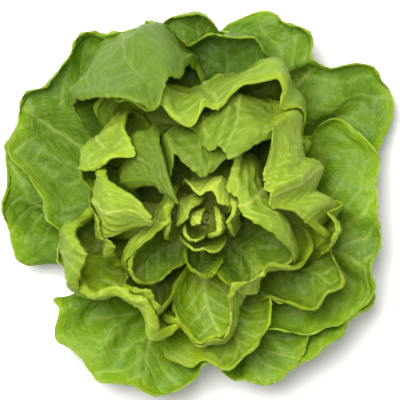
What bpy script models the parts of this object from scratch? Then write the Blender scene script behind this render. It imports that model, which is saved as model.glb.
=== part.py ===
"""Head of butterhead lettuce with its outer leaves spread open: a cut stem and the leaves on it.

Metres, +Z up, the middle of the stem's cut face at the origin.

Every leaf lies on a shell, a bowl round the stem that closes to a dome above it. A shell is named by its
girth, its radius in millimetres at its widest. A place on a leaf is a bearing, in degrees round the stem,
and a climb: -1 at the stem, 0 at the girth, 1 over the heart. A leaf stands back from the leaves inside it,
so leaves never pass through one another.
"""

import math

import bmesh
import bpy
import numpy as np

# Sizes in millimetres.
MM = 0.001
HEAD_RADIUS = 150.0  # girth of the widest leaves
HEART_HEIGHT = 78.0  # height of the heart's girth
OUTER_DROP = 53.0  # how far the widest leaves' girth lies below the heart's
DOME_HEIGHT = 92.0  # top of the innermost shell
DOME_RISE = 42.0  # how much higher the widest shell would close
HEART_LEAN = 12.0  # how far the top of the heart leans to -Y
UNEVENNESS = 2.5  # how far leaves stand from a true round
STEM_RADIUS = 15.0  # at the cut face
STEM_TIP_RADIUS = 5.0
STEM_CHAMFER = 0.8
STEM_HEIGHT = 58.0
LOWEST_LEAF = 12.0  # where the widest leaves leave the stem
HIGHEST_LEAF = STEM_HEIGHT - 4
STEM_CLEARANCE = 1.1  # to the middle of a leaf
LEAF_GAP = 2.4  # from the middle of one leaf to the middle of the next
BLADE_THICKNESS = 0.8
RIB_THICKNESS = 0.6  # more than the blade, along the middle of the leaf near the stem
RIB_SPREAD = 0.2  # share of the leaf's half width
FALL_BACK = 0.8  # past another leaf's edge, millimetres back towards the stem for each millimetre on

DOME_SQUARENESS = 0.85  # 1 is an ellipse, less is boxier
MARGIN_FOOT = -0.4  # climb at which a leaf's sides end and its rounded corners start
MARGIN_SQUARENESS = 2.5
EDGE_CROWDING = 1.5  # columns crowd towards the leaf's sides: 0 is even, 1.57 the most
STEM_SIDES = 24

# Colours as red, green, blue, alpha.
STEM_CREAM = (0.72, 0.70, 0.44, 1.0)
HEART_GREEN = (0.42, 0.52, 0.12, 1.0)
INNER_GREEN = (0.22, 0.38, 0.04, 1.0)
OUTER_GREEN = (0.13, 0.25, 0.02, 1.0)
LEAF_ROUGHNESS = 0.45
STEM_ROUGHNESS = 0.55

# Columns across and rows up, the half width at the stem, and how far the blade swells and sinks.
HEART = {"name": "heart_leaf", "columns": 8, "rows": 7, "foot": 4.0, "swell": 0.5, "colour": HEART_GREEN}
INNER = {"name": "inner_leaf", "columns": 10, "rows": 9, "foot": 6.0, "swell": 1.2, "colour": INNER_GREEN}
OUTER = {"name": "outer_leaf", "columns": 13, "rows": 10, "foot": 8.0, "swell": 1.8, "colour": OUTER_GREEN}

# From the heart outwards: kind, first and last bearing, girths and climbs of the margin at even steps between
# them, how far the margin flares outwards.
LEAVES = [
    (HEART, 30, 150, [8, 9, 8], [0.35, 0.45, 0.35], 0),
    (HEART, 195, 305, [10, 12, 11], [0.25, 0.3, 0.25], 0),
    (HEART, -65, 50, [13, 15, 14], [0.3, 0.4, 0.3], 0),
    (HEART, 75, 195, [17, 18, 17], [0.35, 0.5, 0.4], 0),
    (HEART, 215, 330, [19, 22, 20], [0.15, 0.25, 0.15], 2),
    (HEART, 12, 118, [23, 25, 25], [0.5, 0.64, 0.5], 0),
    (HEART, 330, 412, [27, 28, 28], [0.3, 0.45, 0.4], 0),
    (HEART, 118, 206, [29, 29, 28], [0.3, 0.42, 0.3], 0),
    (INNER, 232, 310, [32, 38, 36], [0.05, 0.12, 0.05], 7),
    (INNER, 182, 256, [34, 46, 44], [0.15, 0.3, 0.15], 2),
    (INNER, -80, 0, [34, 45, 46], [0.05, 0.1, 0.12], 6),
    (INNER, 128, 232, [29, 35, 43, 56, 67], [0.5, 0.45, 0.35, 0.25, 0.15], 0),
    (INNER, -26, 68, [61, 54, 51, 53], [0.32, 0.45, 0.52, 0.45], 0),
    (INNER, 54, 134, [55, 62, 63, 55], [0.42, 0.54, 0.58, 0.48], 0),
    (INNER, 108, 160, [72, 75, 65], [0.5, 0.62, 0.54], 0),
    (INNER, 232, 306, [66, 74, 65], [0.0, 0.05, 0.08], 8),
    (INNER, 222, 264, [64, 75, 80], [0.12, 0.18, 0.08], 3),
    (INNER, 146, 205, [78, 86, 88, 90, 84], [0.45, 0.64, 0.74, 0.72, 0.42], 0),
    (INNER, 250, 350, [80, 74, 62, 54, 62, 77], [0.1, 0.1, 0.18, 0.22, 0.2, 0.12], 5),
    (INNER, 40, 101, [94, 92, 88, 70], [0.48, 0.62, 0.57, 0.38], 0),
    (INNER, 120, 163, [86, 95, 92], [0.4, 0.5, 0.44], 0),
    (INNER, -12, 62, [92, 90, 90, 92, 84], [0.32, 0.52, 0.62, 0.58, 0.44], 0),
    (INNER, -18, 10, [92, 94, 92], [0.15, 0.22, 0.18], 4),
    (INNER, 164, 214, [86, 84, 76, 68], [0.12, 0.17, 0.12, 0.08], 3),
    (INNER, -48, -6, [91, 97, 93], [0.02, 0.07, 0.02], 7),
    (INNER, 36, 130, [90, 106, 122, 104, 88, 84, 94, 102], [0.32, 0.42, 0.4, 0.44, 0.53, 0.53, 0.44, 0.2], 0),
    (INNER, 200, 266, [102, 92, 92, 88], [0.08, 0.2, 0.12, 0.08], 4),
    (INNER, 170, 215, [97, 101, 102, 101], [0.08, 0.2, 0.15, 0.08], 2),
    (INNER, 258, 317, [103, 101, 93, 76], [-0.02, 0.02, 0.07, 0.02], 8),
    (OUTER, 187, 213, [95, 98, 95], [-0.05, 0.0, -0.05], 3),
    (OUTER, 87, 138, [106, 122, 136, 141, 128], [0.25, 0.38, 0.46, 0.46, 0.4], 0),
    (OUTER, -64, 31, [92, 112, 123, 122, 118, 118, 123, 121], [-0.05, 0, 0, 0.05, 0.05, 0, 0, -0.05], 8),
    (OUTER, 57, 102, [116, 126, 123, 112], [0.05, 0.1, 0.14, 0.1], 8),
    (OUTER, 270, 317, [94, 110, 113, 103], [-0.1, -0.02, -0.02, -0.1], 10),
    (OUTER, 107, 189, [142, 144, 143, 141, 140, 115, 90], [0.08, 0.1, 0.08, 0.02, -0.05, -0.15, -0.3], 5),
    (OUTER, 77, 107, [131, 137, 130], [0.08, 0.12, 0.08], 9),
    (OUTER, 18, 82, [124, 150, 153, 129, 137, 147, 134], [0.0, 0.02, 0.05, 0.02, 0.06, 0.08, 0.0], 12),
    (OUTER, 154, 196, [131, 133, 133, 121], [0.0, 0.02, 0.02, -0.05], 7),
    (OUTER, 209, 282, [114, 122, 124, 122, 121, 113, 93], [0.0, 0.0, 0.0, 0.0, -0.02, -0.05, -0.1], 8),
    (OUTER, 294, 353, [115, 124, 129, 125], [-0.05, 0.0, 0.0, -0.05], 6),
]


def smooth_step(start, end, x):
    share = np.clip((x - start) / (end - start), 0, 1)
    return share * share * (3 - 2 * share)


def across(values, u):
    """A smooth curve through evenly spaced values, for u from -1 to 1."""
    values = np.asarray(values, float)
    last = len(values) - 1
    place = np.clip((u + 1) / 2, 0, 1) * last
    left = np.clip(np.floor(place).astype(int), 0, last - 1)
    t = place - left
    before, start = values[np.maximum(left - 1, 0)], values[left]
    end, after = values[left + 1], values[np.minimum(left + 2, last)]
    slope_in, slope_out = (end - before) / 2, (after - start) / 2
    return (
        (2 * t**3 - 3 * t**2 + 1) * start
        + (t**3 - 2 * t**2 + t) * slope_in
        + (3 * t**2 - 2 * t**3) * end
        + (t**3 - t**2) * slope_out
    )


def shell(girth, climb):
    """Radius and height, in millimetres, of a place on a shell."""
    share = np.maximum(girth, 1.0) / HEAD_RADIUS
    girth = share * HEAD_RADIUS
    foot_height = LOWEST_LEAF + (HIGHEST_LEAF - LOWEST_LEAF) * (1 - share)
    foot_radius = STEM_CLEARANCE + STEM_TIP_RADIUS + (STEM_RADIUS - STEM_TIP_RADIUS) * np.clip(share, 0, 1)
    girth_height = HEART_HEIGHT - OUTER_DROP * share**1.6
    dome_height = DOME_HEIGHT + DOME_RISE * share**0.7
    angle = np.clip(climb, -1, 0.98) * math.pi / 2
    up, out = np.sin(angle), np.cos(angle)
    dome_up, dome_out = np.abs(up) ** DOME_SQUARENESS, out**DOME_SQUARENESS
    radius = np.where(climb < 0, foot_radius + (girth - foot_radius) * out, girth * dome_out)
    height = girth_height + np.where(
        climb < 0, (girth_height - foot_height) * up, (dome_height - girth_height) * dome_up
    )
    return radius, height


def spacing(girth, climb):
    """Millimetres between two shells whose girths differ by one."""
    low, high = shell(girth, climb - 0.01), shell(girth, climb + 0.01)
    here, next_out = shell(girth, climb), shell(girth + 1, climb)
    along = np.hypot(high[0] - low[0], high[1] - low[1])
    out = (next_out[0] - here[0]) * (high[1] - low[1]) - (next_out[1] - here[1]) * (high[0] - low[0])
    return np.maximum(out / along, 0.2)


def most_step(grid):
    """The largest step from each point of a grid to a neighbour in its row or column."""
    along, up = np.abs(np.diff(grid, axis=1)), np.abs(np.diff(grid, axis=0))
    along = np.maximum(np.pad(along, ((0, 0), (1, 0))), np.pad(along, ((0, 0), (0, 1))))
    up = np.maximum(np.pad(up, ((1, 0), (0, 0))), np.pad(up, ((0, 1), (0, 0))))
    return np.maximum(along, up)


def around(grid, steps):
    """The values of a grid round each of its points, on straight lines to the neighbours."""
    last_row, last_column = grid.shape[0] - 1, grid.shape[1] - 1
    row = np.clip(np.arange(last_row + 1)[:, None, None, None] + steps[:, None], 0, last_row)
    column = np.clip(np.arange(last_column + 1)[None, :, None, None] + steps, 0, last_column)
    below, left = np.minimum(row.astype(int), last_row - 1), np.minimum(column.astype(int), last_column - 1)
    up, right = row - below, column - left
    low = grid[below, left] * (1 - right) + grid[below, left + 1] * right
    high = grid[below + 1, left] * (1 - right) + grid[below + 1, left + 1] * right
    return low + (high - low) * up


class Leaf:
    """u runs from -1 to 1 across the leaf, v from 0 at the stem to 1 at the margin."""

    def __init__(self, seed, kind, first, last, girths, climbs, flare):
        self.kind, self.flare = kind, flare
        self.columns, self.rows = kind["columns"], kind["rows"]
        self.girths = np.array(girths) * HEAD_RADIUS / 150
        self.climbs = np.array(climbs)
        self.girth = float(self.girths.mean())
        self.bearing = math.radians((first + last) / 2)
        self.spread = math.radians((last - first) / 2)
        random = np.random.default_rng(seed)
        self.swells = random.uniform((-1, 0.5, 0.4, 0), (1, 2.4, 2.0, 6.28), (4, 4))

    def half_angle(self, climb):
        widening = smooth_step(-0.97, -0.3, climb)
        foot = self.kind["foot"]
        width = foot + (self.spread * self.girth - foot) * widening
        angle = width / np.maximum(shell(self.girth, climb)[0], 6)
        return np.minimum(np.where(climb < 0, angle, self.spread), 3.0)

    def margin(self, u):
        """The climb at which the leaf ends: its corners are rounded off."""
        rounding = (1 - np.clip(np.abs(u), 0, 1) ** MARGIN_SQUARENESS) ** (1 / MARGIN_SQUARENESS)
        return MARGIN_FOOT + (across(self.climbs, u) - MARGIN_FOOT) * rounding

    def past_edge(self, u, climb):
        """Millimetres past the leaf's edge, 0 on the leaf."""
        half_width = self.half_angle(climb) * np.maximum(shell(self.girth, climb)[0], 8)
        share_up = np.clip((climb - MARGIN_FOOT) / (across(self.climbs, u) - MARGIN_FOOT), 0, 1)
        u_edge = (1 - share_up**MARGIN_SQUARENESS) ** (1 / MARGIN_SQUARENESS)
        sideways = np.maximum(np.abs(u) - u_edge, 0) * half_width
        above = np.maximum(climb - self.margin(u), 0) * 1.4 * max(self.girth, 40)
        above = above + 3 * np.maximum(np.abs(u) - 1, 0) * half_width
        return sideways * above / (np.hypot(sideways, above) + 1e-9)

    def place(self, column, row):
        """u, v, bearing and climb at a place in the leaf's grid of columns and rows."""
        turn = (2 * np.clip(column / (self.columns - 1), 0, 1) - 1) * EDGE_CROWDING
        u = np.sin(turn) / math.sin(EDGE_CROWDING)
        v = np.clip(row / (self.rows - 1), 0, 1)
        climb = v * (self.margin(u) + 1) - 1
        return u, v, self.bearing + u * self.half_angle(climb), climb

    def wanted_girth(self, u, v):
        girth = across(self.girths, u) + self.flare * smooth_step(0.4, 1.15, v) ** 1.3
        width = self.spread * self.girth / 45
        for size, turns_across, turns_up, start in self.swells:
            wave = np.sin(math.pi * (turns_across * u * width + turns_up * v) + start)
            girth = girth + self.kind["swell"] * size * smooth_step(0.1, 0.7, v) * wave
        return girth

    def least_outside(self, bearing, climb, gap):
        """The least girth of a leaf outside this one: its own and a gap, less the fall back past its edge."""
        from_middle = (bearing - self.bearing + math.pi) % (2 * math.pi) - math.pi
        u = from_middle / self.half_angle(climb)
        v = (climb + 1) / (self.margin(u) + 1)
        turn = np.arcsin(np.clip(u, -1, 1) * math.sin(EDGE_CROWDING))
        column = (turn / EDGE_CROWDING + 1) / 2 * (self.columns - 1)
        row = np.clip(v, 0, 1) * (self.rows - 1)
        left = np.minimum(column.astype(int), self.columns - 2)
        below = np.minimum(row.astype(int), self.rows - 2)
        right_share, up_share = column - left, row - below
        low = self.found[below, left] * (1 - right_share) + self.found[below, left + 1] * right_share
        high = self.found[below + 1, left] * (1 - right_share) + self.found[below + 1, left + 1] * right_share
        girth = low + (high - low) * up_share
        return girth + gap / spacing(girth, climb) - FALL_BACK * self.past_edge(u, climb)

    def lay_on(self, inner_leaves):
        """Finds the leaf's girth at each point of its grid, standing back from the leaves inside it.

        Each point looks at the ground up to its neighbours and allows for the flatness of the faces between
        them, so that the faces stand back too.
        """
        rows, columns = np.arange(self.rows), np.arange(self.columns)
        u, v, bearing, climb = self.place(columns[None, :], rows[:, None])
        self.found = self.wanted_girth(u, v)
        bend = most_step(climb * math.pi / 2) ** 2 + most_step(bearing) ** 2
        gap = (LEAF_GAP + self.girth * bend / 8)[..., None, None]
        look = np.linspace(-1, 1, 5)
        bearing = around(bearing, look)
        climb = around(climb, look)
        for other in inner_leaves:
            least = other.least_outside(bearing, climb, gap).max(axis=(2, 3))
            self.found = 0.5 * (self.found + least + np.sqrt((self.found - least) ** 2 + 2.2))


def settled(points):
    """The slow unevenness of a grown head, and the lean of its heart."""
    x, y, z = points[..., 0], points[..., 1], points[..., 2]
    away = UNEVENNESS * smooth_step(18, 60, np.hypot(x, y))
    moved_x = x + away * (np.sin(0.045 * y + 0.6) + 0.6 * np.sin(0.08 * z + 0.03 * x))
    moved_y = y + away * (np.sin(0.05 * x + 2.1) + 0.6 * np.sin(0.07 * z + 1.0))
    moved_y = moved_y - HEART_LEAN * smooth_step(STEM_HEIGHT - 8, DOME_HEIGHT + 23, z)
    moved_z = z + away * smooth_step(8, 40, z) * 1.6 * np.sin(0.042 * x + 0.035 * y + 1.0)
    return np.stack([moved_x, moved_y, moved_z], axis=-1)


def leaf_middle(leaf):
    """The middle of a leaf as a grid of points, rows from the stem to the margin."""
    u, v, bearing, climb = leaf.place(np.arange(leaf.columns)[None, :], np.arange(leaf.rows)[:, None])
    radius, height = shell(leaf.found, climb)
    return u, v, settled(np.stack([radius * np.cos(bearing), radius * np.sin(bearing), height], axis=-1))


def add_object(name, bm, colour, roughness):
    mesh = bpy.data.meshes.new(name)
    bm.to_mesh(mesh)
    bm.free()
    mesh.shade_smooth()
    material = bpy.data.materials.new(name)
    material.use_nodes = True
    shader = material.node_tree.nodes["Principled BSDF"]
    shader.inputs["Base Color"].default_value = colour
    shader.inputs["Roughness"].default_value = roughness
    mesh.materials.append(material)
    piece = bpy.data.objects.new(name, mesh)
    bpy.context.scene.collection.objects.link(piece)
    return piece


def build_leaf(leaf, name):
    """A grid laid on the leaf's middle and given its thickness, with the rib as a vertex group."""
    u, v, middle = leaf_middle(leaf)
    bm = bmesh.new()
    bmesh.ops.create_grid(bm, x_segments=leaf.columns - 1, y_segments=leaf.rows - 1, size=1)
    for vertex, point in zip(bm.verts, middle.reshape(-1, 3) * MM):
        vertex.co = point
    piece = add_object(name, bm, leaf.kind["colour"], LEAF_ROUGHNESS)
    rib = piece.vertex_groups.new(name="rib")
    shares = np.exp(-((u / RIB_SPREAD) ** 2)) * (1 - v) ** 1.5
    for index, share in enumerate(shares.ravel().tolist()):
        rib.add([index], share, "REPLACE")
    solid = piece.modifiers.new("thickness", "SOLIDIFY")
    solid.thickness = (BLADE_THICKNESS + RIB_THICKNESS) * MM
    solid.offset = 0
    solid.vertex_group = "rib"
    solid.thickness_vertex_group = BLADE_THICKNESS / (BLADE_THICKNESS + RIB_THICKNESS)


def build_stem():
    """A tapering stem, turned from half its outline, with a flat cut face at the bottom."""
    outline = [
        (0, 0),
        (STEM_RADIUS - STEM_CHAMFER, 0),
        (STEM_RADIUS, STEM_CHAMFER),
        (STEM_RADIUS, LOWEST_LEAF),
        (STEM_TIP_RADIUS, HIGHEST_LEAF),
        (STEM_TIP_RADIUS * 0.6, (HIGHEST_LEAF + 2 * STEM_HEIGHT) / 3),
        (0, STEM_HEIGHT),
    ]
    bm = bmesh.new()
    points = [bm.verts.new((radius * MM, 0, height * MM)) for radius, height in outline]
    edges = [bm.edges.new(ends) for ends in zip(points, points[1:])]
    bmesh.ops.spin(bm, geom=points + edges, axis=(0, 0, 1), angle=math.tau, steps=STEM_SIDES, use_merge=True)
    bmesh.ops.remove_doubles(bm, verts=bm.verts, dist=0.00001)
    bmesh.ops.recalc_face_normals(bm, faces=bm.faces)
    add_object("stem", bm, STEM_CREAM, STEM_ROUGHNESS)


def main():
    for thing in list(bpy.data.objects):
        bpy.data.objects.remove(thing)
    leaves = [Leaf(seed, *row) for seed, row in enumerate(LEAVES)]
    build_stem()
    counts = {}
    for number, leaf in enumerate(leaves):
        kind = leaf.kind["name"]
        counts[kind] = counts.get(kind, 0) + 1
        leaf.lay_on(leaves[:number])
        build_leaf(leaf, f"{kind}_{counts[kind]}")


main()
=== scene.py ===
# A head of butterhead lettuce: its stem and its leaves, each one grown outside the leaves within it.
# Lengths are in millimetres until a mesh is made.
import math

import bpy
import numpy as np
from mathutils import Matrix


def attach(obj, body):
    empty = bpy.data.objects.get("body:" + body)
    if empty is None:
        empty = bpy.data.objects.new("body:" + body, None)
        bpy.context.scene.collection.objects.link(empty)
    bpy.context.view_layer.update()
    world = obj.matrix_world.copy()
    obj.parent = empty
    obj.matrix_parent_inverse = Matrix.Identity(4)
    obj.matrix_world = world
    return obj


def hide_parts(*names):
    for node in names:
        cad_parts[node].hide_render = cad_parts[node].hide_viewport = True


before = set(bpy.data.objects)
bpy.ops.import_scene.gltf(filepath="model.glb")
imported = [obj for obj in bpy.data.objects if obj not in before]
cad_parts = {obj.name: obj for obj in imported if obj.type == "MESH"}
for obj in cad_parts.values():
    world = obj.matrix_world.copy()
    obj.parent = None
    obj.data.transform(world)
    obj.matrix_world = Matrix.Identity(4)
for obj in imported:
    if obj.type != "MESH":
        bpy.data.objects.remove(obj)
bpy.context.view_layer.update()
bpy.ops.object.select_all(action="DESELECT")
print("CAD nodes loaded:", len(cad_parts))

mm = 0.001

# The bowls that the leaves lie on, from the heart to the widest leaves, and what all leaves share.
head = {
    "radius": 150.0,  # girth of the widest leaves
    "heartHeight": 78.0,  # height of the heart's girth
    "outerDrop": 53.0,  # how far the widest leaves' girth lies below it
    "dropPower": 1.6,
    "domeHeight": 92.0,  # top of the innermost bowl
    "domeRise": 42.0,  # how much higher the widest bowl would close
    "risePower": 0.7,
    "domeSquareness": 0.85,  # 1 is an ellipse, less is boxier
    "topClimb": 0.98,  # where a bowl stops short of closing
    "lean": 6.0,
    "unevenness": 2.5,
    "drift": 2.2,  # how far leaves wander off their bowls, and over what length
    "driftLength": 42,
    "fineDrift": 0.5,
    "fineDriftLength": 20,
    "marginFoot": -0.4,  # climb at which a leaf's sides end and its rounded corners start
    "marginSquareness": 2.5,
    "edgeCrowding": 1.3,  # columns crowd towards the leaf's sides: 0 is even, 1.57 the most
    "fallBack": 0.8,  # past another leaf's edge, millimetres back towards the stem for each one on
    "leafGap": 1.9,  # from the middle of one leaf to the middle of the next
    "lowestPoint": 1.2,
    "foldDepth": 11.0,
    "broadFold": 58,
    "sharpFold": 30,
    "fan": [(11, 1.2), (14, 3.9), (19, 0.7), (25, 2.6)],  # folds in a full turn, and where they start
}

stem = {
    "radius": 15.0,  # at the cut face
    "tipRadius": 5.0,
    "height": 58.0,
    "lowestLeaf": 12.0,  # where the widest leaves leave the stem
    "highestLeaf": 54.0,
    "clearance": 1.1,
    "around": 144,
    "rows": 96,
    "edgeRound": 1.6,
    "dish": 0.35,
    "scarBearings": (0.4, 1.5, 2.7, 3.6, 4.7, 5.6),
}


def smoothStep(start, end, x):
    share = np.clip((x - start) / (end - start), 0, 1)
    return share * share * (3 - 2 * share)


def throughValues(values, u):
    # A smooth curve through evenly spaced values, for u from -1 to 1.
    values = np.asarray(values, float)
    last = len(values) - 1
    place = np.clip((u + 1) / 2, 0, 1) * last
    left = np.clip(np.floor(place).astype(int), 0, last - 1)
    t = place - left
    before, start = values[np.maximum(left - 1, 0)], values[left]
    end, after = values[left + 1], values[np.minimum(left + 2, last)]
    slopeIn, slopeOut = (end - before) / 2, (after - start) / 2
    return (
        (2 * t**3 - 3 * t**2 + 1) * start
        + (t**3 - 2 * t**2 + t) * slopeIn
        + (3 * t**2 - 2 * t**3) * end
        + (t**3 - t**2) * slopeOut
    )


def bowl(girth, climb):
    # Radius and height of a place: climb is -1 at the stem, 0 at the girth and 1 over the heart.
    share = np.maximum(girth, 1.0) / head["radius"]
    girth = share * head["radius"]
    footHeight = stem["lowestLeaf"] + (stem["highestLeaf"] - stem["lowestLeaf"]) * (1 - share)
    footRadius = (
        stem["clearance"] + stem["tipRadius"] + (stem["radius"] - stem["tipRadius"]) * np.clip(share, 0, 1)
    )
    girthHeight = head["heartHeight"] - head["outerDrop"] * share ** head["dropPower"]
    domeHeight = head["domeHeight"] + head["domeRise"] * share ** head["risePower"]
    angle = np.clip(climb, -1, head["topClimb"]) * math.pi / 2
    up, out = np.sin(angle), np.cos(angle)
    domeUp, domeOut = np.abs(up) ** head["domeSquareness"], out ** head["domeSquareness"]
    radius = np.where(climb < 0, footRadius + (girth - footRadius) * out, girth * domeOut)
    height = girthHeight + np.where(
        climb < 0, (girthHeight - footHeight) * up, (domeHeight - girthHeight) * domeUp
    )
    return radius, height


def spacing(girth, climb):
    # Millimetres between two bowls whose girths differ by one.
    low, high = bowl(girth, climb - 0.01), bowl(girth, climb + 0.01)
    here, nextOut = bowl(girth, climb), bowl(girth + 1, climb)
    along = np.hypot(high[0] - low[0], high[1] - low[1])
    out = (nextOut[0] - here[0]) * (high[1] - low[1]) - (nextOut[1] - here[1]) * (high[0] - low[0])
    return np.maximum(out / along, 0.2)


def ripples(seed, length, *places):
    # A smooth uneven wave, about 1 high, whose crests lie about a length apart.
    random = np.random.default_rng(seed)
    total = 0
    for _ in range(7):
        direction = random.normal(size=len(places))
        direction /= np.linalg.norm(direction)
        reach = length * random.uniform(0.75, 1.35)
        along = sum(place * share for place, share in zip(places, direction))
        total = total + np.sin(2 * math.pi * along / reach + random.uniform(0, 2 * math.pi))
    return total / 2.6


class Leaf:
    # u runs from -1 to 1 across the leaf, v from 0 at the stem to 1 at the margin.

    def __init__(self, seed, row):
        kind = row["kind"]
        self.kind, self.flare, self.seed = kind, row["flare"], seed
        self.hook, self.tone, self.fold = row.get("hook", 0.0), row["tone"], row.get("fold", kind["fold"])
        self.girths, self.climbs = np.array(row["girths"], float), np.array(row["climbs"])
        self.girth = float(self.girths.mean())
        self.bearing = math.radians((row["first"] + row["last"]) / 2)
        self.spread = math.radians((row["last"] - row["first"]) / 2)
        self.halfWidth = self.spread * self.girth
        random = np.random.default_rng(seed)
        self.swells = random.uniform((-1, 0.5, 0.4, 0), (1, 2.4, 2.0, 6.28), (4, 4))
        self.length = 1.25 * self.girth + 30

    def halfAngle(self, climb):
        widening = smoothStep(-0.97, -0.3, climb)
        width = self.kind["foot"] + (self.halfWidth - self.kind["foot"]) * widening
        angle = width / np.maximum(bowl(self.girth, climb)[0], 6)
        return np.minimum(np.where(climb < 0, angle, self.spread), 3.0)

    def lobedClimbs(self, u):
        s = u * self.halfWidth
        lobes = ripples(self.seed + 100, 62, s) + 0.25 * ripples(self.seed + 200, 24, s)
        return throughValues(self.climbs, u) + self.kind["lobe"] * lobes * 0.6 / self.girth

    def margin(self, u):
        power = head["marginSquareness"]
        rounding = (1 - np.clip(np.abs(u), 0, 1) ** power) ** (1 / power)
        return head["marginFoot"] + (self.lobedClimbs(u) - head["marginFoot"]) * rounding

    def pastEdge(self, u, climb):
        # Millimetres past the leaf's edge, 0 on the leaf.
        power = head["marginSquareness"]
        halfWidth = self.halfAngle(climb) * np.maximum(bowl(self.girth, climb)[0], 8)
        shareUp = np.clip((climb - head["marginFoot"]) / (self.lobedClimbs(u) - head["marginFoot"]), 0, 1)
        uEdge = (1 - shareUp**power) ** (1 / power)
        sideways = np.maximum(np.abs(u) - uEdge, 0) * halfWidth
        above = np.maximum(climb - self.margin(u), 0) * 1.4 * max(self.girth, 40)
        above = above + 3 * np.maximum(np.abs(u) - 1, 0) * halfWidth
        return sideways * above / (np.hypot(sideways, above) + 1e-9)

    def places(self):
        # u, v, bearing and climb of each point of the leaf's grid.
        turn = np.linspace(-1, 1, self.kind["across"])[None, :] * head["edgeCrowding"]
        u = np.sin(turn) / math.sin(head["edgeCrowding"])
        v = np.linspace(0, 1, self.kind["up"])[:, None]
        climb = v * (self.margin(u) + 1) - 1
        return u + 0 * v, v + 0 * u, self.bearing + u * self.halfAngle(climb), climb

    def wantedGirth(self, u, v):
        kind = self.kind
        girth = throughValues(self.girths, u) + self.flare * smoothStep(0.4, 1.15, v) ** 1.3
        width = self.halfWidth / 45
        for size, turnsAcross, turnsUp, start in self.swells:
            wave = np.sin(math.pi * (turnsAcross * u * width + turnsUp * v) + start)
            girth = girth + kind["swell"] * size * smoothStep(0.1, 0.7, v) * wave
        s, t = u * self.halfWidth, v * self.length
        folds = ripples(self.seed + 300, kind["foldLength"], s, 0.35 * t)
        folds = np.sign(folds) * np.abs(folds) ** 0.8
        climb = v * (self.margin(u) + 1) - 1
        creases = 0.6 - 1.3 * np.abs(ripples(self.seed + 350, 0.9 * kind["foldLength"], s, 0.2 * t))
        folds = (self.fold * folds + kind["crease"] * creases) * np.minimum(1 / spacing(girth, climb), 2.2)
        girth = girth + folds * smoothStep(0.3, 0.95, v)
        girth = girth + kind["ruffle"] * ripples(self.seed + 400, 20, s, 0.5 * t) * smoothStep(0.8, 1, v)
        return girth + kind["lip"] * smoothStep(0.93, 1, v) * (1 + 0.7 * ripples(self.seed + 500, 26, s))

    def leastOutside(self, bearing, climb, gap):
        # The least girth of a leaf outside this one: its own and a gap, less the fall back past its edge.
        fromMiddle = (bearing - self.bearing + math.pi) % (2 * math.pi) - math.pi
        u = fromMiddle / self.halfAngle(climb)
        v = (climb + 1) / (self.margin(u) + 1)
        turn = np.arcsin(np.clip(u, -1, 1) * math.sin(head["edgeCrowding"]))
        column = (turn / head["edgeCrowding"] + 1) / 2 * (self.kind["across"] - 1)
        row = np.clip(v, 0, 1) * (self.kind["up"] - 1)
        left = np.minimum(column.astype(int), self.kind["across"] - 2)
        below = np.minimum(row.astype(int), self.kind["up"] - 2)
        rightShare, upShare = column - left, row - below
        low = self.found[below, left] * (1 - rightShare) + self.found[below, left + 1] * rightShare
        high = self.found[below + 1, left] * (1 - rightShare) + self.found[below + 1, left + 1] * rightShare
        girth = low + (high - low) * upShare
        return girth + gap / spacing(girth, climb) - head["fallBack"] * self.pastEdge(u, climb)

    def layOn(self, innerLeaves):
        # Each point stands back from the leaves inside this one, if they are near enough to meet it.
        u, v, bearing, climb = self.places()
        near = [other for other in innerLeaves if other.found.max() + 14 > self.girths.min() - 12]
        self.blade = standOutside(near, self.wantedGirth(u, v), bearing, climb)
        # What the leaves outside will find: the blade, and room for a margin that curls outwards.
        self.found = self.blade + max(-self.hook, 0) * smoothStep(0.75, 1, v)

        # Past its top the leaf hooks over, towards the heart, or curls outwards if the hook is less than 0.
        q = np.linspace(0, 1, self.kind["hookRows"] + 1)[1:, None]
        self.hookU = u[-1:] + 0 * q
        bend = abs(self.hook) / max(self.girth, 25)
        self.hookClimb = climb[-1:] + bend * (0.35 * np.sin(math.pi * q * 0.8) - 0.75 * q**2)
        self.hookBearing = self.bearing + self.hookU * self.halfAngle(self.hookClimb)
        wanted = self.blade[-1:] - self.hook * np.sin(0.5 * math.pi * q**0.75) * (1 - 0.5 * self.hookU**6)
        self.hookGirth = standOutside(near, wanted, self.hookBearing, self.hookClimb)


def standOutside(innerLeaves, girth, bearing, climb):
    # The larger of the wanted girth and the least girth outside each leaf, with a soft turn between them.
    for other in innerLeaves:
        least = other.leastOutside(bearing, climb, head["leafGap"])
        girth = 0.5 * (girth + least + np.sqrt((girth - least) ** 2 + 1.0))
    return girth


def foldShift(girth, bearing, climb):
    # Folds that neighbouring leaves share, as a change of girth: broad ones round the heart, and outside them
    # ones that fan out from the stem.
    x, y = 62 * np.cos(bearing), 62 * np.sin(bearing)
    broad = ripples(21, head["broadFold"], x, y, 26 * climb, 0.45 * girth)
    sharp = ripples(22, head["sharpFold"], x, y, 22 * climb, 0.4 * girth)
    sharp = np.sign(sharp) * np.abs(sharp) ** 0.7
    fan = 0
    for turns, start in head["fan"]:
        fan = fan + np.sin(turns * bearing + start + 1.2 * np.sin(2.1 * climb + turns) + 0.025 * girth)
    fan = fan / math.sqrt(len(head["fan"]))
    outer = smoothStep(80, 110, girth)
    depth = head["foldDepth"] * smoothStep(-0.95, -0.35, climb) * smoothStep(10, 60, girth)
    depth = depth * (1 - 0.5 * smoothStep(100, 130, girth) * smoothStep(-0.35, 0, climb))
    folds = (1 - outer) * (0.6 * broad + 0.4 * sharp) + outer * (0.35 * broad + 0.45 * fan)
    return depth * folds / np.maximum(spacing(girth, climb), 0.4)


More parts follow.
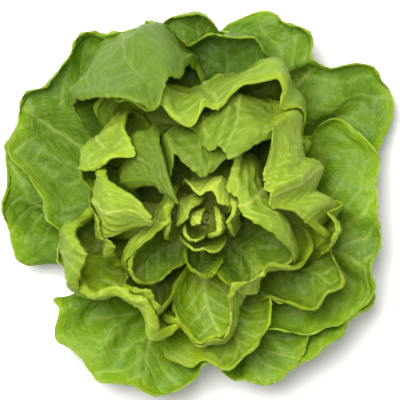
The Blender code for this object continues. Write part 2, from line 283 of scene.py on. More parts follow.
def settled(points):
    # The slow unevenness of a grown head, the lean of its heart, and a finer drift that all leaves share.
    # Near the stem, where leaves are stiff and close together, nothing moves.
    x, y, z = points[..., 0], points[..., 1], points[..., 2]
    away = head["unevenness"] * smoothStep(18, 60, np.hypot(x, y))
    movedX = x + away * (np.sin(0.045 * y + 0.6) + 0.6 * np.sin(0.08 * z + 0.03 * x))
    movedY = y + away * (np.sin(0.05 * x + 2.1) + 0.6 * np.sin(0.07 * z + 1.0))
    movedY = movedY - head["lean"] * smoothStep(stem["height"] - 8, head["domeHeight"] + 23, z)
    movedZ = z + away * smoothStep(8, 40, z) * 1.6 * np.sin(0.042 * x + 0.035 * y + 1.0)
    moved = np.stack([movedX, movedY, movedZ], axis=-1)
    out = np.hypot(x, y)
    loose = np.clip(smoothStep(14, 40, out) + smoothStep(50, 70, z), 0, 1)
    loose = loose * smoothStep(4, 26, z) * (0.35 + 0.65 * smoothStep(15, 50, out))
    for axis, seed in enumerate((11, 13, 15)):
        drift = head["drift"] * ripples(seed, head["driftLength"], x, y, z)
        fineDrift = head["fineDrift"] * ripples(seed + 1, head["fineDriftLength"], x, y, z)
        moved[..., axis] += loose * (drift + fineDrift)
    return moved


def lengthsAlong(points, axis):
    steps = np.linalg.norm(np.diff(points, axis=axis), axis=-1)
    pad = [(1, 0), (0, 0)] if axis == 0 else [(0, 0), (1, 0)]
    return np.cumsum(np.pad(steps, pad), axis=axis)


def outward(points):
    # The unit normal of each point of a grid, away from the heart.
    across, up = np.gradient(points, axis=1), np.gradient(points, axis=0)
    normal = np.cross(across, up)
    return normal / np.maximum(np.linalg.norm(normal, axis=-1, keepdims=True), 1e-9)


def veinsOf(leaf, s, t):
    # How strongly a place belongs to the rib and to the branching veins, 0 to 1.
    long = t.max()
    ribWidth = 0.9 + 4.0 * (1 - t / long) ** 2 * leaf.kind["rib"] / 3
    rib = np.exp(-((s / ribWidth) ** 2)) * smoothStep(1.0, 0.7, t / long)
    step = leaf.kind["veinStep"]
    wander = 1.8 * ripples(leaf.seed + 600, 40, s, t)
    side = np.where(s < 0, 0.5, 0.0)
    phase = (t - 1.05 * np.abs(s) ** 0.93 + wander) / step + side
    away = np.abs(phase - np.round(phase)) * step * 0.7
    reach = smoothStep(1.0, 0.6, np.abs(s) / max(leaf.halfWidth, 10)) * smoothStep(0.05, 0.2, t / long)
    branch = np.exp(-((away / 0.9) ** 2)) * reach
    phase = (t + 1.3 * np.abs(s) + 3.2 * wander) / (step * 0.8) + side
    away = np.abs(phase - np.round(phase)) * step * 0.6
    shown = smoothStep(-0.4, 0.6, ripples(leaf.seed + 650, 22, s, t))
    twig = 0.3 * np.exp(-((away / 0.8) ** 2)) * reach * shown
    return rib, np.maximum(branch, twig)


def writeAttribute(mesh, name, values):
    kind = "FLOAT_VECTOR" if values.ndim == 2 else "FLOAT"
    attribute = mesh.attributes.new(name, kind, "POINT")
    attribute.data.foreach_set("vector" if values.ndim == 2 else "value", values.astype(np.float32).ravel())


def onBothFaces(values, places):
    # A value for each place of the blade, once for its back and once for its face.
    return np.tile(values.reshape(places, -1), (2, 1)).squeeze()


def shapeLeaf(leaf, name):
    # A grid is laid on the leaf's place in the head, puckered between its veins, and given its thickness.
    kind = leaf.kind
    u, v, bearing, climb = leaf.places()
    if leaf.hook:
        u, v = np.vstack([u, leaf.hookU]), np.vstack([v, np.ones_like(leaf.hookU)])
        bearing, climb = np.vstack([bearing, leaf.hookBearing]), np.vstack([climb, leaf.hookClimb])
        leaf.blade = np.vstack([leaf.blade, leaf.hookGirth])
    radius, height = bowl(leaf.blade + foldShift(leaf.blade, bearing, climb), climb)
    # The foot runs into the skin of the stem.
    radius = radius - (stem["clearance"] + 0.7) * smoothStep(0.07, 0, v)
    points = settled(np.stack([radius * np.cos(bearing), radius * np.sin(bearing), height], axis=-1))
    s, t = lengthsAlong(points, 1), lengthsAlong(points, 0)
    s = s - s[:, kind["across"] // 2][:, None]
    toSides = np.minimum(s - s[:, :1], s[:, -1:] - s)
    fromEdge = np.minimum(t[-1:, :] - t, toSides + 6 * (1 - v))
    rib, veins = veinsOf(leaf, s, t)
    loose = smoothStep(0.1, 0.4, v)
    puckers = ripples(leaf.seed + 700, 12, s, t) + 0.5 * ripples(leaf.seed + 800, 5, s, t)
    inwards = kind["pucker"] * loose * (0.5 * puckers - 1.1 * veins) - 0.8 * rib * loose
    points = points - outward(points) * inwards[..., None]
    points[..., 2] = np.maximum(points[..., 2], head["lowestPoint"])

    bpy.ops.mesh.primitive_grid_add(x_subdivisions=kind["across"] - 1, y_subdivisions=len(u) - 1, size=1)
    piece = bpy.context.object
    piece.name = piece.data.name = name
    mesh = piece.data
    mesh.vertices.foreach_set("co", (points * mm).ravel())
    mesh.update()
    ribGroup = piece.vertex_groups.new(name="rib")
    thickness = np.clip(np.exp(-((s / (2.5 + 5 * (1 - v))) ** 2)) * (1 - v) ** 1.3, 0, 1)
    for index, share in enumerate(thickness.ravel().tolist()):
        if share > 0.01:
            ribGroup.add([index], share, "REPLACE")
    solid = piece.modifiers.new("thickness", "SOLIDIFY")
    solid.thickness = (kind["blade"] + kind["rib"]) * mm
    solid.offset = 0
    solid.vertex_group = "rib"
    solid.thickness_vertex_group = kind["blade"] / (kind["blade"] + kind["rib"])
    bpy.ops.object.modifier_apply(modifier=solid.name)
    piece.vertex_groups.clear()
    ownPattern = np.full(s.shape, leaf.seed * 7.0)
    bladeValues = {
        "blade": np.stack([s, t, ownPattern], axis=-1),
        "rib": rib,
        "veins": veins,
        "fromEdge": fromEdge,
        "grown": v,
        "tone": np.full(s.shape, leaf.tone),
    }
    for attribute, values in bladeValues.items():
        writeAttribute(mesh, attribute, onBothFaces(values, u.size))
    writeAttribute(mesh, "back", np.repeat([1.0, 0.0], u.size))
    bpy.ops.object.shade_smooth()
    bpy.ops.object.select_all(action="DESELECT")
    return piece


def linear(hexColour):
    # An sRGB hex colour as the linear values that Blender's sockets take.
    parts = [int(hexColour[i : i + 2], 16) / 255 for i in (1, 3, 5)]
    return [c / 12.92 if c <= 0.04045 else ((c + 0.055) / 1.055) ** 2.4 for c in parts] + [1.0]


def newMaterial(name):
    material = bpy.data.materials.new(name)
    material.use_nodes = True
    return material, material.node_tree.nodes["Principled BSDF"]


def addNode(material, kind, settings=None, links=None):
    # Adds a node: settings are its own or those of its sockets, links join its sockets to others.
    made = material.node_tree.nodes.new(kind)
    for key, value in (settings or {}).items():
        if isinstance(key, str) and hasattr(made, key):
            setattr(made, key, value)
        else:
            made.inputs[key].default_value = value
    for key, source in (links or {}).items():
        material.node_tree.links.new(source, made.inputs[key])
    return made


def addLayers(material, colours, colour, layers):
    # Lays colours over one another: each layer's strength follows a value from a low to a high.
    for value, low, high, atLow, atHigh, name in layers:
        settings = {"From Min": low, "From Max": high, "To Min": atLow, "To Max": atHigh}
        strength = addNode(material, "ShaderNodeMapRange", settings, {"Value": value}).outputs[0]
        settings = {"data_type": "RGBA", 7: linear(colours[name])}
        colour = addNode(material, "ShaderNodeMix", settings, {0: strength, 6: colour}).outputs[2]
    return colour


# Of these colours, edge is a painted highlight of light glowing through the thin margin, light serves both
# the leaf's own pale mottling and a painted glow near the margin, and dark is partly the leaf's own deeper
# green and partly painted shade on leaves that lie deep in the head or behind others.
leafColours = {
    "heart_leaf": {
        "dark": "#4c6a1a",
        "deep": "#6f8a17",
        "blade": "#8aa31e",
        "light": "#b0c23a",
        "back": "#a9bb4a",
        "vein": "#bfcd66",
        "edge": "#cbd674",
        "foot": "#a9b74a",
    },
    "inner_leaf": {
        "dark": "#3b5719",
        "deep": "#5c7c12",
        "blade": "#738f08",
        "light": "#a8bb16",
        "back": "#93aa32",
        "vein": "#b9c868",
        "edge": "#ccd66c",
        "foot": "#b9c760",
    },
    "outer_leaf": {
        "dark": "#375519",
        "deep": "#557712",
        "blade": "#688b0a",
        "light": "#95ae12",
        "back": "#819c30",
        "vein": "#b4c466",
        "edge": "#bccc66",
        "foot": "#c0cc74",
    },
}


def lettuceLeaf(name, colours):
    # Fresh lettuce leaf, thin and full of water: light glows through the blade, a fine wax gives it a soft
    # sheen, the back is paler and more matt, and the veins and the foot are paler still. Near the margin the
    # colour is partly paler thin tissue and partly a painted glow, and the thin edge carries a painted
    # highlight.
    material, shader = newMaterial(name)
    blade = addNode(material, "ShaderNodeAttribute", {"attribute_name": "blade"}).outputs["Vector"]
    rib = addNode(material, "ShaderNodeAttribute", {"attribute_name": "rib"}).outputs["Fac"]
    veins = addNode(material, "ShaderNodeAttribute", {"attribute_name": "veins"}).outputs["Fac"]
    fromEdge = addNode(material, "ShaderNodeAttribute", {"attribute_name": "fromEdge"}).outputs["Fac"]
    grown = addNode(material, "ShaderNodeAttribute", {"attribute_name": "grown"}).outputs["Fac"]
    tone = addNode(material, "ShaderNodeAttribute", {"attribute_name": "tone"}).outputs["Fac"]
    back = addNode(material, "ShaderNodeAttribute", {"attribute_name": "back"}).outputs["Fac"]

    # The blade is measured in millimetres: patches of 25 mm, mottling of 5 mm, grain of 0.8 mm, and a net of
    # fine veins 3.5 mm apart, bent over lengths of 7 mm.
    settings = {"Scale": 0.04, "Detail": 2.0}
    patches = addNode(material, "ShaderNodeTexNoise", settings, {"Vector": blade}).outputs["Fac"]
    settings = {"Scale": 0.2, "Detail": 3.0}
    mottle = addNode(material, "ShaderNodeTexNoise", settings, {"Vector": blade}).outputs["Fac"]
    settings = {"Scale": 1.2, "Detail": 2.0}
    grain = addNode(material, "ShaderNodeTexNoise", settings, {"Vector": blade}).outputs["Fac"]
    settings = {"Scale": 0.15, "Detail": 1.0}
    warp = addNode(material, "ShaderNodeTexNoise", settings, {"Vector": blade}).outputs["Color"]
    settings = {"operation": "MULTIPLY_ADD", 1: (3.0, 3.0, 0.0)}
    bent = addNode(material, "ShaderNodeVectorMath", settings, {0: warp, 2: blade}).outputs[0]
    settings = {"feature": "DISTANCE_TO_EDGE", "Scale": 0.28, "Randomness": 1.0}
    net = addNode(material, "ShaderNodeTexVoronoi", settings, {"Vector": bent}).outputs["Distance"]

    first = addNode(material, "ShaderNodeRGB")
    first.outputs[0].default_value = linear(colours["deep"])
    layers = [
        (patches, 0.25, 0.65, 0.0, 1.0, "blade"),
        (mottle, 0.42, 0.75, 0.0, 0.26, "light"),
        (net, 0.0, 0.09, 0.2, 0.0, "vein"),
        (back, 0.0, 1.0, 0.0, 0.4, "back"),
        (veins, 0.0, 1.0, 0.0, 0.36, "vein"),
        (rib, 0.0, 1.0, 0.0, 0.5, "vein"),
        # Painted shade: the dark colour is partly a leaf's own deeper green and partly shade painted on
        # leaves that lie deep in the head or behind others.
        (tone, 0.0, 1.0, 0.0, 0.8, "dark"),
        (grown, 0.0, 0.28, 0.9, 0.0, "foot"),
        # Painted highlight: within 14 mm of the margin the blade is partly paler thin tissue and partly
        # painted glow of light shining through it, and the last millimetre is a painted bright line of that
        # glow.
        (fromEdge, 0.0, 14.0, 0.35, 0.0, "light"),
        (fromEdge, 0.2, 1.1, 0.35, 0.0, "edge"),
    ]
    colour = addLayers(material, colours, first.outputs[0], layers)
    material.node_tree.links.new(colour, shader.inputs["Base Color"])

    settings = {"From Min": 0.3, "From Max": 0.7, "To Min": 0.34, "To Max": 0.46}
    sheen = addNode(material, "ShaderNodeMapRange", settings, {"Value": mottle}).outputs[0]
    settings = {"operation": "MULTIPLY_ADD", 1: 0.12}
    rough = addNode(material, "ShaderNodeMath", settings, {0: back, 2: sheen}).outputs[0]
    material.node_tree.links.new(rough, shader.inputs["Roughness"])
    shader.inputs["IOR"].default_value = 1.42
    shader.inputs["Specular IOR Level"].default_value = 0.2
    shader.inputs["Subsurface Weight"].default_value = 0.65
    shader.inputs["Subsurface Scale"].default_value = 0.002
    shader.inputs["Subsurface Radius"].default_value = (0.8, 1.0, 0.25)

    # The net stands out of the back and is sunk into the face, over the mottling and the grain.
    settings = {"From Max": 0.09, "To Min": 0.35, "To Max": 0.0}
    netLine = addNode(material, "ShaderNodeMapRange", settings, {"Value": net}).outputs[0]
    settings = {"To Min": -1.0, "To Max": 1.0}
    side = addNode(material, "ShaderNodeMapRange", settings, {"Value": back}).outputs[0]
    settings = {"operation": "MULTIPLY", 1: 0.3}
    fine = addNode(material, "ShaderNodeMath", settings, {0: grain}).outputs[0]
    settings = {"operation": "MULTIPLY_ADD", 1: 0.8}
    uneven = addNode(material, "ShaderNodeMath", settings, {0: mottle, 2: fine}).outputs[0]
    settings = {"operation": "MULTIPLY_ADD"}
    height = addNode(material, "ShaderNodeMath", settings, {0: netLine, 1: side, 2: uneven}).outputs[0]
    settings = {"Strength": 0.6, "Distance": 0.0006}
    relief = addNode(material, "ShaderNodeBump", settings, {"Height": height}).outputs["Normal"]
    material.node_tree.links.new(relief, shader.inputs["Normal"])
    return material


materials = {}
for kindName, colours in leafColours.items():
    materials[kindName] = lettuceLeaf("lettuce " + kindName.replace("_", " "), colours)

# How each kind of leaf is made: points across, up and in its hook, half width at the stem, the depth of its
# swells, folds and creases, how far its margin is lobed, the depth of its puckers, how far its lip curls out
# and ruffles, the thickness of its blade and what its rib adds, and the space between its side veins.
heartLeaf = {
    "name": "heart_leaf",
    "across": 72,
    "up": 52,
    "hookRows": 12,
    "foot": 4.0,
    "swell": 0.5,
    "fold": 2.2,
    "foldLength": 34.0,
    "crease": 1.1,
    "lobe": 1.6,
    "pucker": 0.4,
    "lip": 0.2,
    "ruffle": 0.2,
    "blade": 0.42,
    "rib": 1.2,
    "veinStep": 9.0,
}
innerLeaf = {
    "name": "inner_leaf",
    "across": 100,
    "up": 74,
    "hookRows": 18,
    "foot": 6.0,
    "swell": 1.2,
    "fold": 2.8,
    "foldLength": 54.0,
    "crease": 2.4,
    "lobe": 2.6,
    "pucker": 0.7,
    "lip": 0.4,
    "ruffle": 0.25,
    "blade": 0.6,
    "rib": 2.2,
    "veinStep": 12.0,
}
outerLeaf = {
    "name": "outer_leaf",
    "across": 120,
    "up": 86,
    "hookRows": 12,
    "foot": 8.0,
    "swell": 1.8,
    "fold": 2.0,
    "foldLength": 80.0,
    "crease": 1.0,
    "lobe": 1.4,
    "pucker": 0.75,
    "lip": 0.4,
    "ruffle": 0.2,
    "blade": 0.65,
    "rib": 3.2,
    "veinStep": 15.0,
}

# The leaves, from the heart outwards: the bearings of a leaf's sides in degrees, how far its margin flares
# outwards and hooks over the heart (below 0 it curls outwards), how dark it is (partly its own deeper green
# and partly painted shade where it lies deep or behind others), how deep the shared folds are in it, and its
# girths and climbs at even steps along the margin.
leafRows = [
    {
        "kind": heartLeaf, "first": 70, "last": 200, "flare": 0, "hook": 2, "tone": 0.1,
        "girths": [6, 8, 7],
        "climbs": [0.75, 0.9, 0.7],
    },
    {
        "kind": heartLeaf, "first": 180, "last": 290, "flare": 0, "hook": 2, "tone": 0.6,
        "girths": [10, 12, 11],
        "climbs": [0.3, 0.42, 0.3],
    },
    {
        "kind": heartLeaf, "first": -70, "last": 40, "flare": 0, "hook": 4, "tone": 0.15,
        "girths": [13, 15, 14],
        "climbs": [0.35, 0.5, 0.45],
    },
    {
        "kind": heartLeaf, "first": 75, "last": 195, "flare": 0, "hook": 3, "tone": 0.5,
        "girths": [17, 18, 17],
        "climbs": [0.35, 0.5, 0.4],
    },
    {
        "kind": heartLeaf, "first": 220, "last": 320, "flare": 2, "hook": 2, "tone": 0.6,
        "girths": [19, 22, 20],
        "climbs": [0.2, 0.35, 0.2],
    },
    {
        "kind": heartLeaf, "first": 12, "last": 118, "flare": 0, "hook": 3, "tone": 0.1, "fold": 3.5,
        "girths": [27, 31, 32, 31],
        "climbs": [0.4, 0.5, 0.48, 0.44],
    },
    {
        "kind": heartLeaf, "first": 330, "last": 412, "flare": 0, "hook": 3, "tone": 0.35,
        "girths": [27, 28, 28],
        "climbs": [0.25, 0.4, 0.45],
    },
    {
        "kind": heartLeaf, "first": 126, "last": 214, "flare": 0, "hook": 3, "tone": 0.45,
        "girths": [29, 29, 28],
        "climbs": [0.28, 0.4, 0.25],
    },
    {
        "kind": innerLeaf, "first": 246, "last": 298, "flare": 3, "hook": -2, "tone": 0.8,
        "girths": [26, 42, 45, 28],
        "climbs": [0.1, 0.2, 0.2, 0.1],
    },
    {
        "kind": innerLeaf, "first": 192, "last": 252, "flare": 2, "hook": -2, "tone": 0.7, "fold": 4,
        "girths": [30, 42, 48, 38],
        "climbs": [0.15, 0.25, 0.2, 0.1],
    },
    {
        "kind": innerLeaf, "first": -80, "last": 2, "flare": 6, "hook": -2, "tone": 0.7, "fold": 4.5,
        "girths": [30, 42, 50, 52, 40],
        "climbs": [0.15, 0.12, 0.02, 0.08, 0.15],
    },
    {
        "kind": innerLeaf, "first": 128, "last": 232, "flare": 0, "hook": 5, "tone": 0.1, "fold": 3.5,
        "girths": [22, 26, 33, 46, 60],
        "climbs": [0.48, 0.52, 0.45, 0.25, -0.15],
    },
    {
        "kind": innerLeaf, "first": -26, "last": 80, "flare": 0, "hook": 10, "tone": 0.15, "fold": 4,
        "girths": [56, 50, 50, 56, 60],
        "climbs": [0.38, 0.52, 0.52, 0.45],
    },
    {
        "kind": innerLeaf, "first": 54, "last": 134, "flare": 0, "hook": 9, "tone": 0.65, "fold": 4,
        "girths": [54, 60, 60, 54],
        "climbs": [0.44, 0.48, 0.54, 0.6],
    },
    {
        "kind": innerLeaf, "first": 108, "last": 160, "flare": 0, "hook": 10, "tone": 0.75, "fold": 5,
        "girths": [62, 68, 70, 68, 60],
        "climbs": [0.3, 0.56, 0.82, 0.56, 0.3],
    },
    {
        "kind": innerLeaf, "first": 254, "last": 302, "flare": 4, "hook": -2, "tone": 0.1,
        "girths": [50, 76, 78, 50],
        "climbs": [0.0, 0.05, 0.05, 0.0],
    },
    {
        "kind": innerLeaf, "first": 216, "last": 258, "flare": 3, "hook": 3, "tone": 0.6,
        "girths": [48, 68, 72, 52],
        "climbs": [0.12, 0.3, 0.2, 0.1],
    },
    {
        "kind": innerLeaf, "first": 148, "last": 190, "flare": 0, "hook": 8, "tone": 0.05, "fold": 5,
        "girths": [84, 84, 78, 70, 62],
        "climbs": [0.66, 0.76, 0.8, 0.78, 0.7],
    },
    {
        "kind": innerLeaf, "first": 250, "last": 350, "flare": 3, "hook": 6, "tone": 0.1, "fold": 4,
        "girths": [76, 68, 56, 48, 56, 72],
        "climbs": [0.1, 0.12, 0.2, 0.26, 0.24, 0.14],
    },
    {
        "kind": innerLeaf, "first": 40, "last": 101, "flare": 0, "hook": 12, "tone": 0.45, "fold": 7,
        "girths": [94, 92, 88, 70],
        "climbs": [0.6, 0.66, 0.62, 0.48],
    },
    {
        "kind": innerLeaf, "first": 120, "last": 163, "flare": 0, "hook": 4, "tone": 0.15, "fold": 3,
        "girths": [86, 95, 92],
        "climbs": [0.3, 0.48, 0.46, 0.44, 0.24],
    },
    {
        "kind": innerLeaf, "first": -12, "last": 62, "flare": 0, "hook": 10, "tone": 0.1, "fold": 4,
        "girths": [92, 84, 95, 85, 94, 86, 95, 85, 86],
        "climbs": [0.28, 0.38, 0.4, 0.48, 0.54, 0.6, 0.62, 0.7, 0.6],
    },
    {
        "kind": innerLeaf, "first": -18, "last": 10, "flare": 4, "hook": -2, "tone": 0.3,
        "girths": [70, 84, 84, 70],
        "climbs": [0.15, 0.22, 0.18],
    },
    {
        "kind": innerLeaf, "first": 166, "last": 212, "flare": 1, "hook": 9, "tone": 0.35,
        "girths": [70, 68, 62, 56],
        "climbs": [0.15, 0.25, 0.22, 0.1],
    },
    {
        "kind": innerLeaf, "first": -48, "last": -6, "flare": 5, "hook": -2, "tone": 0.5, "fold": 4,
        "girths": [58, 90, 97, 92, 62],
        "climbs": [0.02, 0.07, 0.02],
    },
    {
        "kind": innerLeaf, "first": 36, "last": 130, "flare": 0, "hook": 5, "tone": 0.35, "fold": 6,
        "girths": [88, 106, 126, 112, 96, 92, 98, 102],
        "climbs": [0.32, 0.4, 0.38, 0.42, 0.46, 0.5, 0.54, 0.4],
    },
    {
        "kind": innerLeaf, "first": 200, "last": 266, "flare": 2, "hook": 9, "tone": 0.0, "fold": 5,
        "girths": [92, 80, 74, 76, 60],
        "climbs": [0.1, 0.22, 0.18, 0.15, 0.1],
    },
    {
        "kind": innerLeaf, "first": 170, "last": 215, "flare": 0, "hook": 11, "tone": 0.3,
        "girths": [90, 96, 98, 96],
        "climbs": [0.1, 0.25, 0.25, 0.12],
    },
    {
        "kind": innerLeaf, "first": 258, "last": 317, "flare": 6, "hook": -2, "tone": 0.3, "fold": 5,
        "girths": [96, 94, 78, 58],
        "climbs": [-0.02, 0.02, 0.07, 0.02],
    },
    {
        "kind": outerLeaf, "first": 187, "last": 204, "flare": 3, "tone": 0.5,
        "girths": [97, 102, 90],
        "climbs": [-0.05, 0.0, -0.05],
    },
    {
        "kind": outerLeaf, "first": 87, "last": 138, "flare": 0, "hook": 8, "tone": 0.72, "fold": 9,
        "girths": [106, 126, 140, 141, 128],
        "climbs": [0.35, 0.44, 0.5, 0.54, 0.5],
    },
    {
        "kind": outerLeaf, "first": -64, "last": 31, "flare": 8, "hook": -1, "tone": 0.25,
        "girths": [76, 92, 114, 120, 117, 112, 122, 124],
        "climbs": [-0.05, 0, 0, 0.05, 0.05, 0, 0, -0.05],
    },
    {
        "kind": outerLeaf, "first": 57, "last": 102, "flare": 8, "hook": -1, "tone": 0.9, "fold": 3.5,
        "girths": [116, 126, 123, 112],
        "climbs": [0.05, 0.1, 0.14, 0.1],
    },
    {
        "kind": outerLeaf, "first": 270, "last": 317, "flare": 10, "hook": -1, "tone": 0.3, "fold": 4,
        "girths": [88, 102, 112, 100],
        "climbs": [-0.1, -0.02, -0.02, -0.1],
    },
    {
        "kind": outerLeaf, "first": 107, "last": 189, "flare": 5, "hook": -1, "tone": 0.55, "fold": 6.5,
        "girths": [142, 136, 138, 147, 127, 112, 87],
        "climbs": [0.08, 0.1, 0.08, 0.02, -0.05, -0.15, -0.3],
    },
    {
        "kind": outerLeaf, "first": 77, "last": 107, "flare": 9, "hook": -1, "tone": 0.5,
        "girths": [126, 132, 125],
        "climbs": [0.08, 0.12, 0.08],
    },
    {
        "kind": outerLeaf, "first": 18, "last": 82, "flare": 12, "hook": -1, "tone": 0.45, "fold": 4,
        "girths": [120, 149, 144, 122, 147, 143, 128],
        "climbs": [0.0, 0.02, 0.05, 0.02, 0.06, 0.08, 0.0],
    },
    {
        "kind": outerLeaf, "first": 154, "last": 196, "flare": 7, "hook": -1, "tone": 0.55, "fold": 3,
        "girths": [127, 136, 132, 122],
        "climbs": [0.0, 0.02, 0.02, -0.05],
    },
    {
        "kind": outerLeaf, "first": 215, "last": 282, "flare": 8, "hook": -1, "tone": 0.25, "fold": 3,
        "girths": [122, 125, 121, 114, 109, 106, 93],
        "climbs": [-0.05, 0.0, 0.0, 0.0, -0.02, -0.05, -0.1],
    },
    {
        "kind": outerLeaf, "first": 294, "last": 353, "flare": 6, "hook": -1, "tone": 0.3,
        "girths": [110, 117, 120, 119],
        "climbs": [-0.05, 0.0, 0.0, -0.05],
    },
]

leaves, counts = [], {}
for seed, row in enumerate(leafRows):
    kind = row["kind"]["name"]
    counts[kind] = counts.get(kind, 0) + 1
    leaf = Leaf(seed, row)
    leaf.layOn(leaves)
    leaves.append(leaf)
    name = f"{kind}_{counts[kind]}"
    piece = shapeLeaf(leaf, "fresh_" + name)
    piece.data.materials.append(materials[kind])
    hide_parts(name)
    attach(piece, "root")
print("leaves made:", len(leaves))


stemColours = {
    "pith": "#e9e6c4",
    "wet": "#d3d6a2",
    "ring": "#bccb86",
    "rust": "#b98d55",
    "skin": "#b4c77c",
    "high": "#aebd62",
    "scar": "#9a8a4c",
}


def cutLettuceStem(colours):
    # Cut lettuce stem: moist cream pith inside a green ring of vessels, rusting where the knife went through
    # it, and a pale waxy green skin with the rust-brown scars of the leaves that were taken off.
    material, shader = newMaterial("cut lettuce stem")
    place = addNode(material, "ShaderNodeTexCoord").outputs["Object"]
    fromMiddle = addNode(material, "ShaderNodeAttribute", {"attribute_name": "fromMiddle"}).outputs["Fac"]
    scar = addNode(material, "ShaderNodeAttribute", {"attribute_name": "scar"}).outputs["Fac"]
    up = addNode(material, "ShaderNodeAttribute", {"attribute_name": "up"}).outputs["Fac"]

    # Patches of 8 mm, flecks of 1.5 mm, and fibres that run up the stem 0.7 mm apart.
    settings = {"Scale": 125.0, "Detail": 3.0}
    patches = addNode(material, "ShaderNodeTexNoise", settings, {"Vector": place}).outputs["Fac"]
    settings = {"Scale": 650.0, "Detail": 3.0}
    flecks = addNode(material, "ShaderNodeTexNoise", settings, {"Vector": place}).outputs["Fac"]
    settings = {"operation": "MULTIPLY", 1: (1.0, 1.0, 0.08)}
    long = addNode(material, "ShaderNodeVectorMath", settings, {0: place}).outputs[0]
    settings = {"Scale": 1400.0, "Detail": 2.0}
    fibres = addNode(material, "ShaderNodeTexNoise", settings, {"Vector": long}).outputs["Fac"]

    settings = {"operation": "MULTIPLY_ADD", 1: 0.24}
    uneven = addNode(material, "ShaderNodeMath", settings, {0: patches, 2: fromMiddle}).outputs[0]
    first = addNode(material, "ShaderNodeRGB")
    first.outputs[0].default_value = linear(colours["pith"])
    layers = [
        (patches, 0.35, 0.65, 0.0, 0.6, "wet"),
        (uneven, 0.62, 0.84, 0.0, 0.8, "ring"),
        (uneven, 0.86, 0.92, 0.0, 0.7, "pith"),
        (uneven, 0.98, 1.08, 0.0, 0.75, "rust"),
        (flecks, 0.6, 0.72, 0.0, 0.4, "rust"),
        (up, 0.4, 1.6, 0.0, 1.0, "skin"),
        (up, 6.0, 24.0, 0.0, 0.8, "high"),
        (fibres, 0.5, 0.7, 0.0, 0.25, "wet"),
        (scar, 0.3, 1.0, 0.0, 0.8, "scar"),
    ]
    colour = addLayers(material, colours, first.outputs[0], layers)
    material.node_tree.links.new(colour, shader.inputs["Base Color"])
    settings = {"From Min": 0.3, "From Max": 0.7, "To Min": 0.34, "To Max": 0.55}
    rough = addNode(material, "ShaderNodeMapRange", settings, {"Value": patches}).outputs[0]
    material.node_tree.links.new(rough, shader.inputs["Roughness"])
    shader.inputs["Subsurface Weight"].default_value = 0.4
    shader.inputs["Subsurface Scale"].default_value = 0.003
    settings = {"operation": "MULTIPLY_ADD", 1: 0.5}
    height = addNode(material, "ShaderNodeMath", settings, {0: fibres, 2: flecks}).outputs[0]
    settings = {"Strength": 0.5, "Distance": 0.0004}
    relief = addNode(material, "ShaderNodeBump", settings, {"Height": height}).outputs["Normal"]
    material.node_tree.links.new(relief, shader.inputs["Normal"])
    return material


def shapeStem():
    # A grid is rolled into the stem and welded: the cut face, its rounded edge, the side and the tip.
    around, rows, edgeRound = stem["around"], stem["rows"], stem["edgeRound"]
    radius, tip, height = stem["radius"], stem["tipRadius"], stem["height"]
    low, high = stem["lowestLeaf"], stem["highestLeaf"]
    length = np.linspace(0, radius + height + tip * 0.5, rows)[:, None] * np.ones((1, around))
    turn = np.linspace(0, 2 * math.pi, around)[None, :] * np.ones((rows, 1))
    up = np.clip(length - radius, 0, height)
    taper = radius + (tip - radius) * smoothStep(low - 6, high, up) - tip * smoothStep(high, height, up)
    out = np.where(length < radius, length, taper)
    onSide = smoothStep(radius - 0.5, radius + 2, length) * smoothStep(height, high, up)

    # Ridges under the ribs of the leaves, and low crescents where leaves came off.
    scar = np.zeros_like(out)
    for number, bearing in enumerate(stem["scarBearings"]):
        side = (turn - bearing + math.pi) % (2 * math.pi) - math.pi
        middle = 4.0 + 3.0 * (number % 3) / 2 + 5 * side**2
        crescent = np.exp(-(((up - middle) / 1.1) ** 2)) * smoothStep(0.62, 0.4, np.abs(side))
        scar = np.maximum(scar, crescent)
    ribs = np.abs(np.sin(4 * turn + 0.6 * np.sin(3 * turn) + 0.04 * up))
    swell = 0.5 * ribs + 0.4 * ripples(31, 9, 14 * np.cos(turn), 14 * np.sin(turn), 0.5 * up) + 0.7 * scar
    out = np.maximum(out + (swell - 0.5) * onSide, 0)
    out[0], out[-1] = 0, 0
    edge = smoothStep(radius - edgeRound, radius, length) * smoothStep(radius + edgeRound, radius, length)
    out = out - 0.5 * edge * (length > radius - 0.1)
    dish = stem["dish"] * smoothStep(radius, 2, length)
    dish = dish + 0.06 * ripples(32, 4, out * np.cos(turn), 3 * np.sin(turn))
    z = np.where(length < radius, np.maximum(dish, 0), up)

    bpy.ops.mesh.primitive_grid_add(x_subdivisions=around - 1, y_subdivisions=rows - 1, size=1)
    piece = bpy.context.object
    piece.name = piece.data.name = "cut_stem"
    points = np.stack([out * np.cos(turn), out * np.sin(turn), z], axis=-1) * mm
    piece.data.vertices.foreach_set("co", points.ravel())
    piece.data.update()
    writeAttribute(piece.data, "fromMiddle", np.clip(length / radius, 0, 1).ravel())
    writeAttribute(piece.data, "up", up.ravel())
    writeAttribute(piece.data, "scar", (scar * onSide).ravel())
    bpy.ops.object.mode_set(mode="EDIT")
    bpy.ops.mesh.select_all(action="SELECT")
    bpy.ops.mesh.remove_doubles(threshold=0.00002)
    bpy.ops.mesh.normals_make_consistent(inside=False)
    bpy.ops.object.mode_set(mode="OBJECT")
    bpy.ops.object.shade_smooth()
    return piece


stemPiece = shapeStem()
stemPiece.data.materials.append(cutLettuceStem(stemColours))
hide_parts("stem")
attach(stemPiece, "root")
bpy.ops.object.select_all(action="DESELECT")
print("stem made")

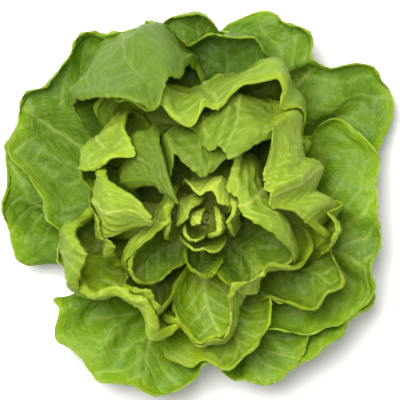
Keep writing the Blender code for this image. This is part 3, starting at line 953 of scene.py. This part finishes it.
# White paper, one soft lamp and a camera that looks straight down. Lengths are in metres, the sensor's width
# is in millimetres.
studio = {
    "floorColour": "#f4f4f2",
    "floorSize": 4,
    "floorHeight": -0.0005,
    "worldStrength": 0.55,
    "keyPlace": (-0.36, 0.46, 1.6),
    "keyTarget": (0, 0, 0.05),
    "keyPower": 49.0,
    "keySize": 1.2,
    "cameraHeight": 2.6,
    "clipEnd": 20,
    "sensorWidth": 36,
    "viewHeight": 0.05,
    "viewWidth": 0.28,  # at viewHeight
    "viewCentre": (-0.0007, 0.012),
}

bpy.ops.mesh.primitive_plane_add(size=studio["floorSize"], location=(0, 0, studio["floorHeight"]))
floor = bpy.context.object
floor.name = "studio_floor"
floorMaterial, floorShader = newMaterial("matt white paper")
floorShader.inputs["Base Color"].default_value = linear(studio["floorColour"])
floorShader.inputs["Roughness"].default_value = 0.9
floor.data.materials.append(floorMaterial)

world = bpy.data.worlds.new("studio")
bpy.context.scene.world = world
world.use_nodes = True
world.node_tree.nodes["Background"].inputs["Color"].default_value = (1, 1, 1, 1)
world.node_tree.nodes["Background"].inputs["Strength"].default_value = studio["worldStrength"]

bpy.ops.object.light_add(type="AREA", location=studio["keyPlace"])
light = bpy.context.object
light.name = "key_light"
light.data.shape = "DISK"
light.data.size = studio["keySize"]
light.data.energy = studio["keyPower"]
direction = np.array(studio["keyTarget"]) - np.array(studio["keyPlace"])
tilt = math.atan2(math.hypot(direction[0], direction[1]), -direction[2])
turn = math.atan2(direction[0], -direction[1]) + math.pi
light.rotation_euler = (tilt, 0, turn)

bpy.ops.object.camera_add(location=(*studio["viewCentre"], studio["cameraHeight"]), rotation=(0, 0, 0))
camera = bpy.context.object
camera.data.sensor_width = studio["sensorWidth"]
distance = studio["cameraHeight"] - studio["viewHeight"]
camera.data.lens = studio["sensorWidth"] * distance / studio["viewWidth"]
camera.data.clip_end = studio["clipEnd"]
bpy.context.scene.camera = camera
bpy.context.scene.view_settings.view_transform = "Standard"

print("studio made")
